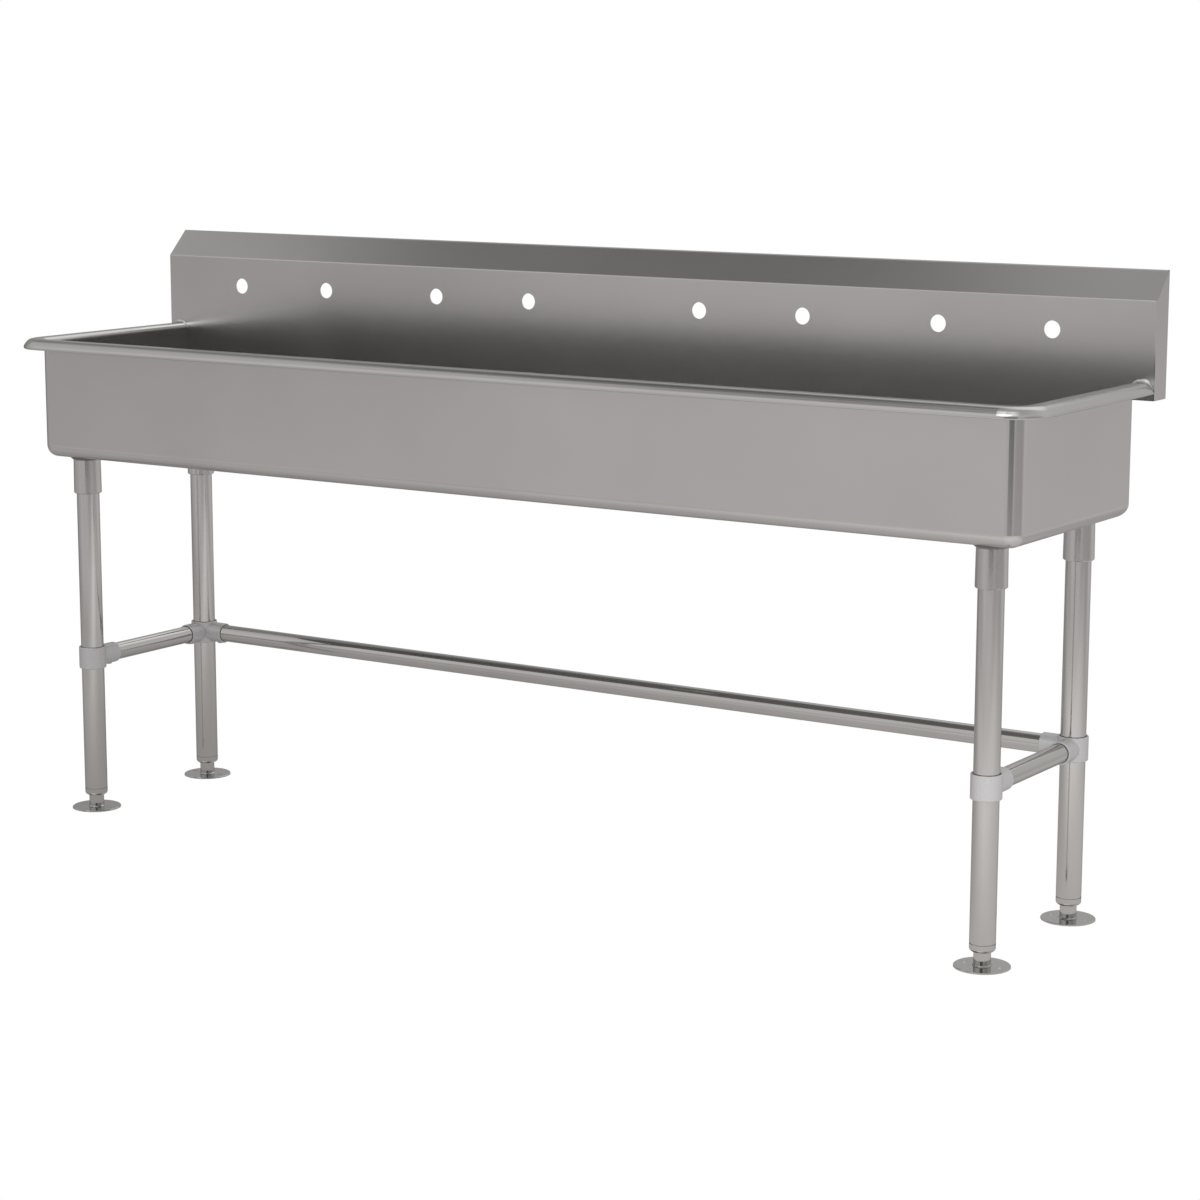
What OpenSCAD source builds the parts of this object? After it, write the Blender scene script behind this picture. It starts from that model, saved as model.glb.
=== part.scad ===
// Floor-standing trough sink: one long welded bowl with a rolled rim, a boxed backsplash with
// faucet holes, tube legs in welded sockets, a U-shaped lower rail held by cast fittings, and
// screw-adjusted feet with floor flanges.
// X runs along the sink, Y from front to back, Z up. The origin is on the floor, under the
// middle of the sink's bounding box. Lengths are in millimetres.

/* [Bowl] */
// Height of the rim above the floor
rim_height = 876; // [800:1:950]
// Outside length of the bowl
bowl_length = 1957; // [1900:1:2400]
// Outside width of the bowl, from its front wall to the splash face
bowl_width = 405; // [390:1:560]
// Depth of the bowl, from the rim to the underside of its floor
bowl_depth = 216; // [120:1:300]
// Thickness of the stainless sheet in the bowl and the backsplash
sheet = 1.9; // [1.2:0.1:2.2]
// Outside radius of the bowl's upright front corners
corner_r = 22.5; // [22:0.5:60]
// Outside radius of the bend between the walls and the floor
bottom_r = 21.5; // [8:0.5:21.5]
// Fall of the floor from its edges to the drain
floor_fall = 6; // [1:0.5:12]

/* [Rolled rim] */
// Width of the rim outside the bowl wall
rim_width = 37; // [34:0.5:50]
// Radius of the bend from the wall to the rim's flat top
rim_bend_r = 10; // [4:0.5:11]
// Radius of the upper part of the roll
rim_roll_r = 16; // [8:0.5:18]
// Width of the sloping flat in the roll, measured level
rim_slope_run = 2.7; // [1.4:0.1:4.2]
// Height of the sloping flat in the roll, measured upright
rim_slope_drop = 3.6; // [2.4:0.1:5.4]
// Radius of the lower part of the roll
rim_nose_r = 9.5; // [4:0.5:11]
// Radius of the tight hem under the roll
rim_hem_r = 2.3; // [2.3:0.1:4]
// Length of sheet turned back under the roll
rim_return = 9; // [3:0.5:11]
// Radius of the ground weld cove where the rim's top meets the splash
cove_r = 5; // [3:0.5:8]

/* [Backsplash] */
// Height of the backsplash, from its lower edge to the top of its return
splash_height = 203.2; // [150:0.1:320]
// Distance that the backsplash reaches below the rim
splash_drop = 28.4; // [20:0.1:60]
// Distance that each end of the backsplash stands out past the rim
splash_margin = 0.5; // [0.3:0.1:3]
// Depth of the splash box behind the splash face
splash_depth = 46; // [30:0.5:70]
// Inside radius of the fold between the splash face and the sloping return
splash_fold_r = 1.5; // [0.5:0.1:4]
// Length of the flange that turns down behind the return
splash_flange = 25; // [10:1:60]

/* [Faucet holes] */
// Diameter of a faucet hole
faucet_hole_d = 28.6; // [20:0.1:35]
// Distance between the two holes of a station
faucet_pitch = 203.2; // [150:0.1:210]
// Height of the holes above the rim
faucet_rise = 76; // [60:0.5:90]
// Distance of the two inner stations from the middle
inner_station = 279.4; // [230:0.1:330]
// Distance of the two outer stations from the middle
outer_station = 736.6; // [600:0.1:800]

/* [Legs] */
// Outside diameter of a leg tube
leg_d = 41.3; // [38:0.1:44]
// Wall of a leg tube
leg_wall = 1.5; // [1.2:0.1:2.4]
// Distance of the legs' axes from the ends of the bowl
leg_inset = 64.1; // [60:0.1:300]
// Distance of the front legs' axes from the front of the bowl
leg_front_inset = 49; // [49:0.5:90]
// Distance of the rear legs from the splash face
leg_setback = 41; // [40:0.5:60]

/* [Leg sockets] */
// Outside diameter of a leg socket at its mouth
socket_d = 50.4; // [49:0.1:54]
// Outside diameter of a leg socket at its welded top
socket_top_d = 49.2; // [48:0.1:54]
// Size of the bevel at each end of a leg socket
socket_bevel = 1.5; // [0.5:0.1:2]
// Length of a leg socket
socket_length = 63.5; // [40:0.5:90]
// Thickness of the closed top of a leg socket
socket_roof = 5; // [3:0.5:10]
// Diameter of the welded pad over a leg socket
pad_d = 59; // [54:0.5:59]
// Thickness of the welded pad
pad_thickness = 4; // [3:0.5:8]
// Size of the bevel round the pad's lower edge
pad_bevel = 2.5; // [1:0.1:2.8]

/* [Lower rails] */
// Outside diameter of a rail tube
rail_d = 31.75; // [28:0.05:33]
// Wall of a rail tube
rail_wall = 1.5; // [1:0.1:2.4]
// Height of the rails above the floor
rail_height = 285.75; // [150:0.05:420]

/* [Rail fittings] */
// Outside diameter of a fitting's collar round the leg
collar_d = 49.4; // [49:0.1:54]
// Height of the collar
collar_height = 40; // [39:0.5:60]
// Size of the bevel round the collar's outer edges
collar_bevel = 1; // [0.4:0.1:1]
// Size of the countersink in each end of the collar's bore
collar_mouth = 2.2; // [0.5:0.1:2.2]
// Outside diameter of a fitting's arm round the rail
arm_d = 37.5; // [35.5:0.1:38]
// Distance from the leg's axis to the mouth of a tee fitting's arm
tee_reach = 57.5; // [52:0.5:80]
// Distance from the leg's axis to the mouth of a corner fitting's arms
corner_reach = 53; // [52:0.5:80]
// Size of the bevel round the mouth of an arm
arm_bevel = 1; // [0.4:0.1:1]
// Size of the countersink in the mouth of an arm
arm_mouth = 0.7; // [0.2:0.1:0.7]
// Diameter of the flat boss round an arm's set screw
boss_d = 11; // [9:0.5:14]
// Distance that the boss stands below the arm
boss_drop = 1.3; // [1.2:0.1:3]
// Distance from the leg's axis to the end of the rail inside an arm
rail_seat = 28; // [27:0.5:32]

/* [Feet] */
// Diameter of the floor flange
flange_d = 88.9; // [75:0.1:100]
// Thickness of the floor flange
flange_thickness = 2.5; // [2:0.1:5]
// Diameter of the circle through the flange's bolt holes
flange_pcd = 60.3; // [52:0.1:66]
// Diameter of a bolt hole in the flange
flange_hole_d = 9.5; // [6:0.1:12]
// Diameter of the foot's stem
stem_d = 27.2; // [20:0.1:29]
// Length of stem that shows between the flange and the insert
stem_show = 22.5; // [18:0.5:40]
// Height of the bullet-shaped part of the insert below the leg tube
bullet_height = 14; // [10:0.5:25]
// Radius of the bullet's lower edge
bullet_r = 6; // [1:0.5:6]
// Height of the groove between the leg tube and the bullet
groove_height = 1.3; // [0.5:0.1:3]
// Depth of that groove
groove_depth = 0.8; // [0.2:0.1:1]
// Length of the insert inside the leg tube
spigot_length = 30; // [20:1:60]

/* [Drain] */
// Distance of the drain's centre from the splash face
drain_setback = 95; // [90:1:110]
// Diameter of the drain hole in the bowl's floor
drain_hole_d = 89; // [88:0.5:92]
// Diameter of the drain body's flange
drain_flange_d = 108; // [104:0.5:114]
// Outside diameter of the drain body's neck
drain_neck_d = 86.6; // [84:0.1:87]
// Depth of the drain cup below the bowl's floor
cup_depth = 28; // [27:0.5:45]
// Thickness of the drain body's wall
cup_wall = 2.2; // [1.5:0.1:2.5]
// Height of the cone at the bottom of the drain cup
cup_cone = 7; // [4:0.5:9]
// Thickness of the drain body's flange
drain_rim_t = 1.8; // [1:0.1:3]
// Width of the bevel round the drain body's flange
drain_rim_bevel = 1.5; // [0.5:0.1:3]
// Width of the ledge that carries the strainer basket
ledge_width = 2; // [1.5:0.1:2.5]
// Depth of the ledge below the bowl's floor
ledge_depth = 2.2; // [1.5:0.1:3]
// Outside diameter of the threaded outlet
outlet_d = 48.3; // [40:0.1:50]
// Length of the threaded outlet below the cup
outlet_length = 10; // [8:0.5:40]
// Wall of the threaded outlet
outlet_wall = 2.5; // [2:0.1:4]
// Thickness of the rubber gasket under the bowl
gasket_t = 3; // [2:0.1:4]
// Thickness of the friction washer
washer_t = 1; // [0.6:0.1:1.5]
// Height of the locknut
locknut_t = 8; // [6:0.5:10]
// Depth of the strainer basket below its rim
basket_depth = 15; // [8:0.5:16]

/* [Fits] */
// Radial clearance of a tube in its socket or fitting
tube_gap = 0.1; // [0.05:0.05:0.25]
// Radial clearance of the foot's stem in its insert
stem_gap = 0.06; // [0.02:0.01:0.1]
// Clearance between a set screw or the drain's rings and what they pass through
screw_gap = 0.05; // [0.02:0.01:0.1]
// Radius of a set screw
set_screw_r = 3.2; // [2.5:0.1:4]
// Length of a set screw
set_screw_length = 4; // [3:0.1:4]
// Depth of the hexagon socket in a set screw
hex_depth = 2; // [1:0.1:2.5]
// Radial clearance of the strainer basket in the drain body
basket_gap = 0.5; // [0.3:0.1:1]

/* [Hidden] */
$fn = 96;

// How far a cutter reaches past what it cuts
cut = 1;

STEEL = [0.62, 0.61, 0.60];
TUBE = [0.66, 0.65, 0.63];
CASTING = [0.72, 0.72, 0.72];
RUBBER = [0.12, 0.12, 0.12];
FIBRE = [0.55, 0.25, 0.18];

// Where the sheet body stands
half_bowl = bowl_length / 2;
half_length = half_bowl + rim_width + splash_margin;
y_splash = (bowl_width + rim_width - splash_depth) / 2;
y_front = y_splash - bowl_width;
z_under = rim_height - bowl_depth;

// The sloping flat of the roll, and the angle that the upper part of the roll turns through
rim_slope = norm([rim_slope_run, rim_slope_drop]);
rim_roll_turn = atan2(rim_slope_drop, rim_slope_run);

// The rim's flat top, between its inner bend and its roll
rim_deck = rim_width - rim_bend_r + sheet - rim_roll_r * sin(rim_roll_turn)
    - rim_slope_run - rim_nose_r * (1 - sin(rim_roll_turn));

// The splash box
z_splash_low = rim_height - splash_drop;
z_splash_top = z_splash_low + splash_height;
z_fold = z_splash_top - splash_depth;
STATIONS = [-outer_station, -inner_station, inner_station, outer_station];

// The legs, from the pads down
leg_r = leg_d / 2;
x_leg = half_bowl - leg_inset;
y_rear_leg = y_splash - leg_setback;
y_front_leg = y_front + leg_front_inset;
z_socket_top = z_under - pad_thickness;
z_socket_mouth = z_socket_top - socket_length;
z_leg_top = z_socket_top - socket_roof;
z_bullet = flange_thickness + stem_show;
z_leg_foot = z_bullet + bullet_height;
stem_r = stem_d / 2;
stem_recess = 2;
stem_top = z_leg_foot + spigot_length - stem_recess;

// Directions in plan, in degrees
RIGHTWARD = 0;
REAR_RIGHT = 45;
REARWARD = 90;
REAR_LEFT = 135;
LEFTWARD = 180;
FRONTWARD = -90;

// Rail fittings: side of the sink, row (0 front, 1 rear), directions of the arms, reach of the
// arms, direction of the collar's screw
TEE_LEFT = [-1, 0, [REARWARD], tee_reach, LEFTWARD];
TEE_RIGHT = [1, 0, [REARWARD], tee_reach, LEFTWARD];
CORNER_LEFT = [-1, 1, [FRONTWARD, RIGHTWARD], corner_reach, REAR_LEFT];
CORNER_RIGHT = [1, 1, [FRONTWARD, LEFTWARD], corner_reach, REAR_RIGHT];

// The drain, from the bowl's floor down
drain_y = y_splash - drain_setback;
seat_margin = 11;
drain_seat = drain_flange_d + 2 * seat_margin;
z_sump = z_under - floor_fall;
z_sump_floor = z_sump + sheet;
z_gasket = z_sump - gasket_t;
z_locknut = z_gasket - washer_t;
z_ledge = z_sump_floor - ledge_depth;
z_cup_floor = z_sump - cup_depth;
z_outlet = z_cup_floor - outlet_length;
neck_r = drain_neck_d / 2;
outlet_r = outlet_d / 2;
bore_r = neck_r - cup_wall;
basket_r = bore_r - basket_gap;
z_basket_floor = z_ledge - basket_depth;
post_r = 3;
stopper_t = 4;

// The pitched part of the floor stays inside the legs' pads and clear of the floor's bends
pan_margin = 2;
pad_margin = 5;
pan_half = x_leg - pad_d / 2 - pad_margin;
pan_front = y_front + bottom_r + pan_margin;
pan_back = y_splash + sheet - bottom_r - pan_margin;

// ---- shared shapes ----

// A ring sector from angle 0 to the given angle, up to a quarter turn
module sector(r_in, r_out, angle) {
    reach = 2 * r_out;
    intersection() {
        difference() {
            circle(r_out);
            circle(r_in);
        }
        polygon([
            [0, 0],
            [reach, 0],
            1.5 * reach * [cos(angle / 2), sin(angle / 2)],
            reach * [cos(angle), sin(angle)],
        ]);
    }
}

// A sheet seen on edge, lying to the left of its path. Each step is
// [straight length, turn (left is positive), inside radius of the bend].
module folded(steps, i = 0) {
    run = steps[i][0];
    turn = steps[i][1];
    r = steps[i][2];
    side = turn > 0 ? sheet + r : -r;
    if (run > 0) square([run, sheet]);
    if (turn != 0) translate([run, side]) {
        rotate(turn > 0 ? -90 : 90 + turn) sector(r, r + sheet, abs(turn));
        if (i + 1 < len(steps)) rotate(turn) translate([0, -side]) folded(steps, i + 1);
    }
}

// An outline in the YZ plane, carried along X
module along_x(length) {
    rotate([90, 0, 90]) linear_extrude(length, center = true) children();
}

module both_ends() {
    for (side = [0, 1]) mirror([side, 0, 0]) children();
}

module at_leg(side, row) {
    translate([side * x_leg, row == 0 ? y_front_leg : y_rear_leg, 0]) children();
}

module tube(d, wall, length) {
    difference() {
        cylinder(h = length, d = d);
        translate([0, 0, -cut]) cylinder(h = length + 2 * cut, d = d - 2 * wall);
    }
}

// ---- the bowl ----

// An upright section of the bowl with both lower corners rounded
module basin_section(from, to, low, top, r) {
    translate([from, low + r]) square([to - from, top - low - r]);
    translate([from + r, low]) square([to - from - 2 * r, r]);
    translate([from + r, low + r]) circle(r);
    translate([to - r, low + r]) circle(r);
}

// The bowl as a solid block, drawn in from its outside by the inset
module bowl_block(inset, top) {
    half = half_bowl - inset;
    front = y_front + inset;
    back = y_splash + sheet - inset;
    low = z_under + inset;
    round_r = corner_r - inset;
    bend_r = bottom_r - inset;
    difference() {
        intersection() {
            along_x(2 * half) basin_section(front, back, low, top, bend_r);
            translate([0, back, 0]) rotate([90, 0, 0])
                linear_extrude(back - front) basin_section(-half, half, low, top, bend_r);
        }
        both_ends() translate([half - round_r, front - cut, low - cut])
            cube([round_r + cut, round_r + cut, top - low + 2 * cut]);
    }
    both_ends() translate([half - round_r, front + round_r, 0]) rotate(-90)
        rotate_extrude(angle = 90) intersection() {
            basin_section(-round_r, round_r, low, top, bend_r);
            translate([0, low - cut]) square([round_r + cut, top - low + 2 * cut]);
        }
}

// The floor's four creased panels, which fall to a flat seat round the drain
module pan(lift) {
    hull() {
        translate([-pan_half, pan_front, z_under + lift])
            cube([2 * pan_half, pan_back - pan_front, 1]);
        translate([-drain_seat / 2, drain_y - drain_seat / 2, z_sump + lift])
            cube([drain_seat, drain_seat, 0.5]);
    }
}

// The rolled rim: bend, flat top, roll, hem and return, outward from a short piece of the wall
module rim_section() {
    wall = 2;
    translate([0, -rim_bend_r - wall]) rotate(90) folded([
        [wall, -90, rim_bend_r - sheet],
        [rim_deck, -rim_roll_turn, rim_roll_r - sheet],
        [rim_slope, rim_roll_turn - 90, rim_nose_r - sheet],
        [0, -90, rim_hem_r - sheet],
        [rim_return, 0, 0],
    ]);
}

module rolled_rim() {
    translate([0, y_front, rim_height]) along_x(bowl_length - 2 * corner_r)
        mirror([1, 0]) rim_section();
    both_ends() {
        translate([half_bowl, y_splash, rim_height]) rotate([90, 0, 0])
            linear_extrude(bowl_width - corner_r) rim_section();
        translate([half_bowl - corner_r, y_front + corner_r, rim_height]) rotate(-90)
            rotate_extrude(angle = 90) translate([corner_r, 0]) rim_section();
    }
}

// The ground weld that rounds the corner between the rim's flat top and the splash
module weld_cove() {
    middle = half_bowl - sheet + rim_bend_r + rim_deck / 2;
    translate([middle, y_splash, rim_height]) along_x(rim_deck) difference() {
        translate([-cove_r, -sheet / 2]) square([cove_r, cove_r + sheet / 2]);
        translate([-cove_r, cove_r]) circle(cove_r);
    }
}

module trough() {
    color(STEEL) {
        difference() {
            union() {
                bowl_block(0, rim_height - rim_bend_r);
                pan(0);
            }
            bowl_block(sheet, rim_height);
            pan(sheet);
            translate([-half_length, y_splash, z_splash_low])
                cube([2 * half_length, splash_depth, splash_height]);
            translate([0, drain_y, z_sump - cut]) cylinder(h = sheet + 2 * cut, d = drain_hole_d);
        }
        rolled_rim();
        both_ends() weld_cove();
    }
}

// ---- the backsplash ----

module splash_section() {
    fold = (splash_fold_r + sheet) * tan(22.5);
    intersection() {
        union() {
            translate([splash_depth, z_splash_top]) rotate(225) folded([
                [splash_depth * sqrt(2) - fold, 45, splash_fold_r],
                [z_fold - z_splash_low - fold, 0, 0],
            ]);
            translate([splash_depth - sheet, z_splash_top - splash_flange])
                square([sheet, splash_flange]);
        }
        translate([0, z_splash_low]) square([splash_depth, splash_height]);
    }
}

module backsplash() {
    color(STEEL) difference() {
        translate([0, y_splash, 0]) along_x(2 * (half_length - sheet)) splash_section();
        for (station = STATIONS, hole = [-0.5, 0.5])
            translate([station + hole * faucet_pitch, y_splash, rim_height + faucet_rise])
                rotate([90, 0, 0]) cylinder(h = 2 * sheet + cut, d = faucet_hole_d, center = true);
    }
}

module splash_end_cap() {
    color(STEEL) translate([half_length - sheet / 2, y_splash, 0]) along_x(sheet) polygon([
        [0, z_splash_low],
        [splash_depth, z_splash_low],
        [splash_depth, z_splash_top],
        [0, z_fold],
    ]);
}

// ---- legs and their sockets ----

module socket_pad() {
    color(STEEL) translate([0, 0, z_socket_top]) {
        cylinder(h = pad_bevel, d1 = pad_d - 2 * pad_bevel, d2 = pad_d);
        translate([0, 0, pad_bevel]) cylinder(h = pad_thickness - pad_bevel, d = pad_d);
    }
}

// A set screw with its hexagon socket, pointing inward along -X, its tip at the given radius
module set_screw(tip) {
    translate([tip, 0, 0]) rotate([0, 90, 0]) difference() {
        cylinder(h = set_screw_length, r = set_screw_r);
        translate([0, 0, set_screw_length - hex_depth])
            cylinder(h = hex_depth + cut, r = set_screw_r / 2, $fn = 6);
    }
}

// The hole that a set screw passes through, outward from the given radius
module screw_hole(from) {
    translate([from, 0, 0]) rotate([0, 90, 0]) cylinder(h = collar_d / 2, r = set_screw_r + screw_gap);
}

module leg_socket() {
    bevel = socket_bevel;
    color(CASTING) difference() {
        translate([0, 0, z_socket_mouth]) {
            cylinder(h = bevel, d1 = socket_d - 2 * bevel, d2 = socket_d);
            translate([0, 0, bevel])
                cylinder(h = socket_length - 2 * bevel, d1 = socket_d, d2 = socket_top_d);
            translate([0, 0, socket_length - bevel])
                cylinder(h = bevel, d1 = socket_top_d, d2 = socket_top_d - 2 * bevel);
        }
        translate([0, 0, z_socket_mouth - cut])
            cylinder(h = z_leg_top - z_socket_mouth + cut, r = leg_r + tube_gap);
        translate([0, 0, (z_socket_mouth + z_leg_top) / 2]) rotate(90) screw_hole(leg_r - cut);
    }
}

module socket_set_screws() {
    color(STEEL) for (side = [-1, 1], row = [0, 1]) at_leg(side, row)
        translate([0, 0, (z_socket_mouth + z_leg_top) / 2]) rotate(90) set_screw(leg_r);
}

module leg() {
    color(TUBE) translate([0, 0, z_leg_foot]) tube(leg_d, leg_wall, z_leg_top - z_leg_foot);
}

// ---- lower rails and their cast fittings ----

// An arm lies along X, with the boss for its set screw underneath
module arm_shell(reach) {
    rotate([0, 90, 0]) {
        cylinder(h = reach - arm_bevel, d = arm_d);
        translate([0, 0, reach - arm_bevel])
            cylinder(h = arm_bevel, d1 = arm_d, d2 = arm_d - 2 * arm_bevel);
    }
    translate([arm_screw_at(reach), 0, -arm_d / 2 - boss_drop])
        cylinder(h = arm_d / 2, d = boss_d);
}

module arm_bore(reach) {
    bore = rail_d / 2 + tube_gap;
    translate([rail_seat, 0, 0]) rotate([0, 90, 0]) cylinder(h = reach, r = bore);
    translate([reach - arm_mouth, 0, 0]) rotate([0, 90, 0])
        cylinder(h = 2 * arm_mouth, r1 = bore, r2 = bore + 2 * arm_mouth);
    translate([arm_screw_at(reach), 0, 0]) rotate([0, 90, 0]) screw_hole(0);
}

// How far along an arm its set screw sits
function arm_screw_at(reach) = (rail_seat + reach) / 2;

module collar_shell() {
    translate([0, 0, -collar_height / 2]) {
        cylinder(h = collar_bevel, d1 = collar_d - 2 * collar_bevel, d2 = collar_d);
        translate([0, 0, collar_bevel])
            cylinder(h = collar_height - 2 * collar_bevel, d = collar_d);
        translate([0, 0, collar_height - collar_bevel])
            cylinder(h = collar_bevel, d1 = collar_d, d2 = collar_d - 2 * collar_bevel);
    }
}

// The collar's bore, countersunk at both ends
module collar_bore() {
    bore = leg_r + tube_gap;
    cylinder(h = collar_height + 2 * cut, r = bore, center = true);
    for (end = [0, 1]) mirror([0, 0, end]) translate([0, 0, collar_height / 2 - collar_mouth])
        cylinder(h = 2 * collar_mouth, r1 = bore, r2 = bore + 2 * collar_mouth);
}

module at_fitting(fitting) {
    at_leg(fitting[0], fitting[1]) translate([0, 0, rail_height]) children();
}

module rail_fitting(fitting) {
    color(CASTING) at_fitting(fitting) difference() {
        union() {
            collar_shell();
            for (arm = fitting[2]) rotate(arm) arm_shell(fitting[3]);
        }
        collar_bore();
        for (arm = fitting[2]) rotate(arm) arm_bore(fitting[3]);
        rotate(fitting[4]) screw_hole(leg_r - cut);
    }
}

module fitting_set_screws() {
    color(STEEL) for (fitting = [TEE_LEFT, TEE_RIGHT, CORNER_LEFT, CORNER_RIGHT])
        at_fitting(fitting) {
            rotate(fitting[4]) set_screw(leg_r);
            for (arm = fitting[2]) rotate(arm) translate([arm_screw_at(fitting[3]), 0, 0])
                rotate([0, 90, 0]) set_screw(rail_d / 2);
        }
}

module side_rail() {
    color(TUBE) translate([0, rail_seat, rail_height]) rotate([-90, 0, 0])
        tube(rail_d, rail_wall, y_rear_leg - y_front_leg - 2 * rail_seat);
}

module rear_rail() {
    color(TUBE) translate([rail_seat - x_leg, y_rear_leg, rail_height]) rotate([0, 90, 0])
        tube(rail_d, rail_wall, 2 * (x_leg - rail_seat));
}

// ---- feet ----

// The bullet-shaped end of the leg, with its spigot inside the tube and its threaded bore
module foot_insert() {
    spigot_r = leg_r - leg_wall - tube_gap;
    color(STEEL) rotate_extrude() difference() {
        union() {
            translate([0, z_bullet + bullet_r])
                square([leg_r, bullet_height - bullet_r - groove_height]);
            translate([0, z_leg_foot - groove_height]) square([leg_r - groove_depth, groove_height]);
            translate([0, z_bullet]) square([leg_r - bullet_r, bullet_r]);
            intersection() {
                translate([leg_r - bullet_r, z_bullet + bullet_r]) circle(bullet_r);
                translate([leg_r - bullet_r, z_bullet]) square(bullet_r);
            }
            translate([0, z_leg_foot]) square([spigot_r, spigot_length]);
        }
        translate([0, z_bullet - cut])
            square([stem_r + stem_gap, bullet_height + spigot_length + 2 * cut]);
    }
}

module foot_stem() {
    weld = 2;
    tip = 1.5;
    color(STEEL) {
        translate([0, 0, flange_thickness]) cylinder(h = stem_top - tip - flange_thickness, r = stem_r);
        translate([0, 0, flange_thickness]) cylinder(h = weld, r1 = stem_r + weld, r2 = stem_r);
        translate([0, 0, stem_top - tip]) cylinder(h = tip, r1 = stem_r, r2 = stem_r - tip);
    }
}

module foot_flange() {
    edge = 0.6;
    color(STEEL) difference() {
        union() {
            cylinder(h = flange_thickness - edge, d = flange_d);
            translate([0, 0, flange_thickness - edge])
                cylinder(h = edge, d1 = flange_d, d2 = flange_d - 2 * edge);
        }
        for (side = [-1, 1]) translate([side * flange_pcd / 2, 0, -cut])
            cylinder(h = flange_thickness + 2 * cut, d = flange_hole_d);
    }
}

// ---- drain and strainer ----

module at_drain() {
    translate([0, drain_y, 0]) children();
}

// The drain body, as one half section turned about the drain's axis
module drain_body() {
    cone_step = 2;
    cup_taper = 1;
    ledge_r = bore_r - ledge_width;
    color(STEEL) at_drain() rotate_extrude() polygon([
        [bore_r, z_sump_floor + drain_rim_t],
        [drain_flange_d / 2 - drain_rim_bevel, z_sump_floor + drain_rim_t],
        [drain_flange_d / 2, z_sump_floor],
        [neck_r, z_sump_floor],
        [neck_r, z_cup_floor + cup_cone],
        [outlet_r + cone_step, z_cup_floor],
        [outlet_r, z_cup_floor],
        [outlet_r, z_outlet],
        [outlet_r - outlet_wall, z_outlet],
        [outlet_r - outlet_wall, z_cup_floor + cup_wall],
        [ledge_r - cup_taper, z_cup_floor + cup_cone + cup_wall],
        [ledge_r, z_ledge],
        [bore_r, z_ledge],
    ]);
}

module drain_ring(z_top, thickness, d) {
    at_drain() translate([0, 0, z_top - thickness]) difference() {
        cylinder(h = thickness, d = d);
        translate([0, 0, -cut]) cylinder(h = thickness + 2 * cut, r = neck_r + screw_gap);
    }
}

module drain_gasket() {
    color(RUBBER) drain_ring(z_sump, gasket_t, drain_flange_d);
}

module drain_friction_washer() {
    setback = 1;
    color(FIBRE) drain_ring(z_gasket, washer_t, drain_flange_d - 2 * setback);
}

// A ring nut with lugs for a hook spanner
module drain_locknut() {
    lugs = 8;
    lug_length = 4;
    lug_width = 8;
    lug_root = 0.5;
    lug_step = 2;
    ring_d = drain_flange_d - 2 * lug_length;
    color(STEEL) {
        drain_ring(z_locknut, locknut_t, ring_d);
        at_drain() for (i = [0 : lugs - 1]) rotate(i * 360 / lugs)
            translate([ring_d / 2 - lug_root, -lug_width / 2, z_locknut - locknut_t])
                cube([lug_length, lug_width, locknut_t - lug_step]);
    }
}

// A perforated cup that hangs by its rim on the ledge inside the drain body
module strainer_basket() {
    skin = 1;
    lip = 4;
    cup_r = basket_r - lip;
    hole_r = 1.8;
    rings = 4;
    ring_step = cup_r / (rings + 0.9);
    color(STEEL) at_drain() difference() {
        union() {
            translate([0, 0, z_ledge]) cylinder(h = skin, r = basket_r);
            translate([0, 0, z_basket_floor]) cylinder(h = basket_depth, r = cup_r);
        }
        translate([0, 0, z_basket_floor + skin]) cylinder(h = basket_depth, r = cup_r - skin);
        for (ring = [2 : rings], i = [0 : 6 * ring - 1]) rotate(i * 60 / ring)
            translate([ring * ring_step, 0, z_basket_floor - cut])
                cylinder(h = skin + 2 * cut, r = hole_r);
        translate([0, 0, z_basket_floor - cut])
            cylinder(h = skin + 2 * cut, r = post_r + screw_gap);
    }
}

// The rubber disc under the basket that closes the outlet
module strainer_stopper() {
    top_r = 13;
    lower_r = 11;
    layer = stopper_t / 2;
    color(RUBBER) at_drain() translate([0, 0, z_basket_floor - stopper_t]) difference() {
        union() {
            cylinder(h = layer, r1 = lower_r, r2 = top_r);
            translate([0, 0, layer]) cylinder(h = layer, r = top_r);
        }
        translate([0, 0, -cut]) cylinder(h = stopper_t + 2 * cut, r = post_r + screw_gap);
    }
}

// The pull post through the basket and its stopper: a head below, a washer on the basket's floor,
// a stem and a pull knob
module strainer_post() {
    head_t = 2.5;
    washer_r = 6;
    spindle_r = 4;
    knob_r = 8;
    knob_edge_r = 7;
    washer_from = 1;
    washer_to = 2;
    tail = stopper_t + head_t;
    flare = 3;
    knob_t = 1.5;
    flare_to = z_sump_floor - z_basket_floor;
    flare_from = flare_to - flare;
    color(STEEL) at_drain() translate([0, 0, z_basket_floor]) {
        translate([0, 0, -tail]) cylinder(h = tail + washer_to, r = post_r);
        translate([0, 0, -tail]) cylinder(h = head_t, r = washer_r);
        translate([0, 0, washer_from]) cylinder(h = washer_to - washer_from, r = washer_r);
        translate([0, 0, washer_to]) cylinder(h = flare_from - washer_to, r = spindle_r);
        translate([0, 0, flare_from])
            cylinder(h = flare, r1 = spindle_r, r2 = knob_r);
        translate([0, 0, flare_to]) cylinder(h = knob_t, r1 = knob_r, r2 = knob_edge_r);
    }
}

// ---- the assembly ----

trough();
backsplash();
mirror([1, 0, 0]) splash_end_cap();  // splash_end_cap_left
splash_end_cap();  // splash_end_cap_right

at_leg(-1, 0) socket_pad();  // socket_pad_front_left
at_leg(1, 0) socket_pad();  // socket_pad_front_right
at_leg(-1, 1) socket_pad();  // socket_pad_rear_left
at_leg(1, 1) socket_pad();  // socket_pad_rear_right

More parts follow.
